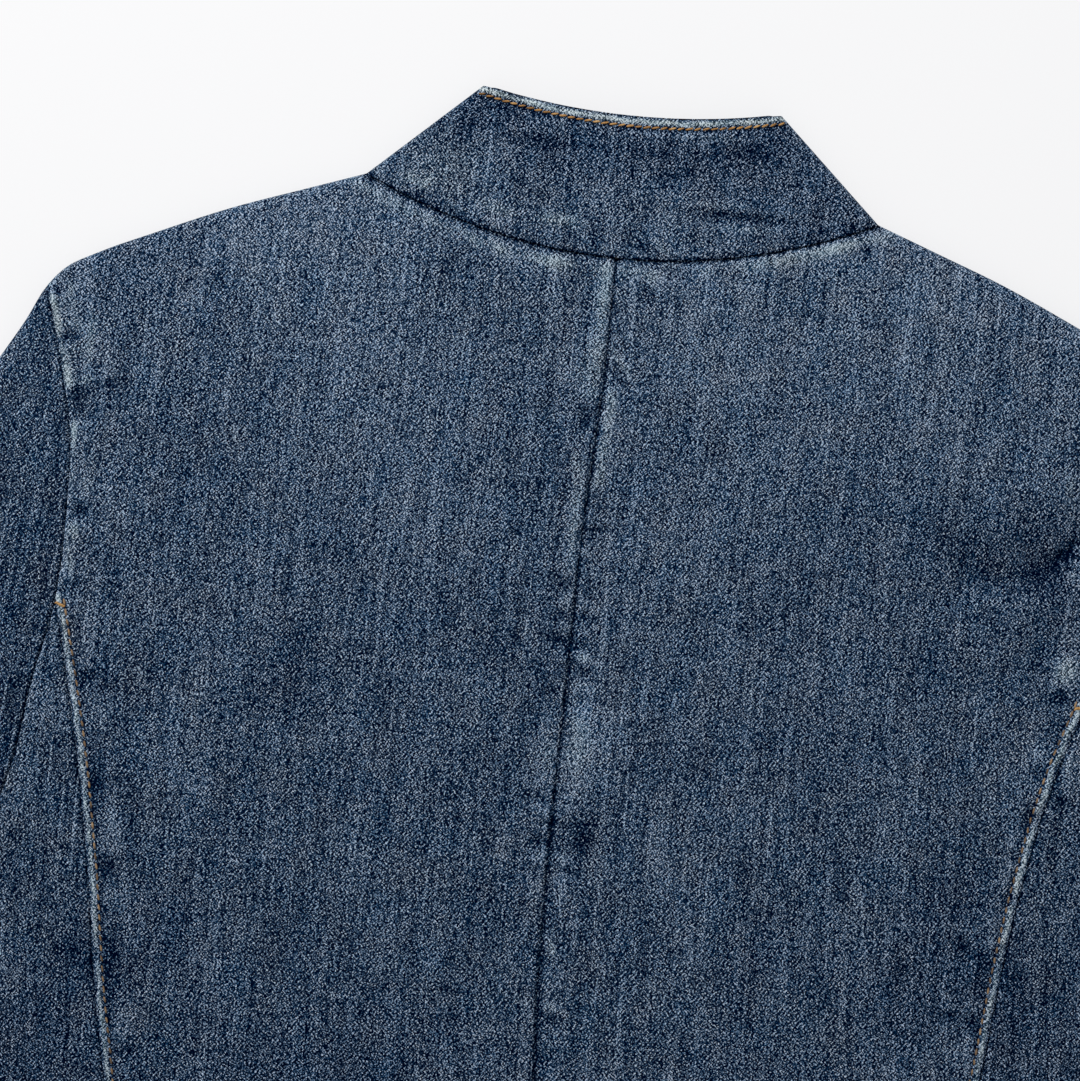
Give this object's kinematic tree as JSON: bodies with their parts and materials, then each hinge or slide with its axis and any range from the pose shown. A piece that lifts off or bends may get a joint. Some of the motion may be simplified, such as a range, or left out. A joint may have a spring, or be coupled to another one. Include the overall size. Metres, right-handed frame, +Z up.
{
  "type": "denim jacket",
  "caption": "Cropped denim jacket with a stand collar, a centre-back seam, curved side-back seams and set-in sleeves, lying flat on its front with the back up.",
  "frame": {"origin": "bottom centre of the jacket's box, on the surface that it lies on", "axes": "+Z up from the surface, +Y towards the collar, +X towards the wearer's right sleeve"},
  "size_m": [1.0032, 0.6306, 0.0155],
  "materials": {
    "denim_body": "washed indigo twill, matte",
    "denim_sleeve": "darker indigo twill, matte",
    "denim_collar": "washed indigo twill, matte"
  },
  "bodies": {
    "root": {"back_left": "denim_body", "back_right": "denim_body", "side_back_left": "denim_body", "side_back_right": "denim_body", "front_left": "denim_body", "front_right": "denim_body", "sleeve_left": "denim_sleeve", "sleeve_right": "denim_sleeve", "collar_outer": "denim_collar", "collar_facing": "denim_collar"}
  },
  "joints": []
}
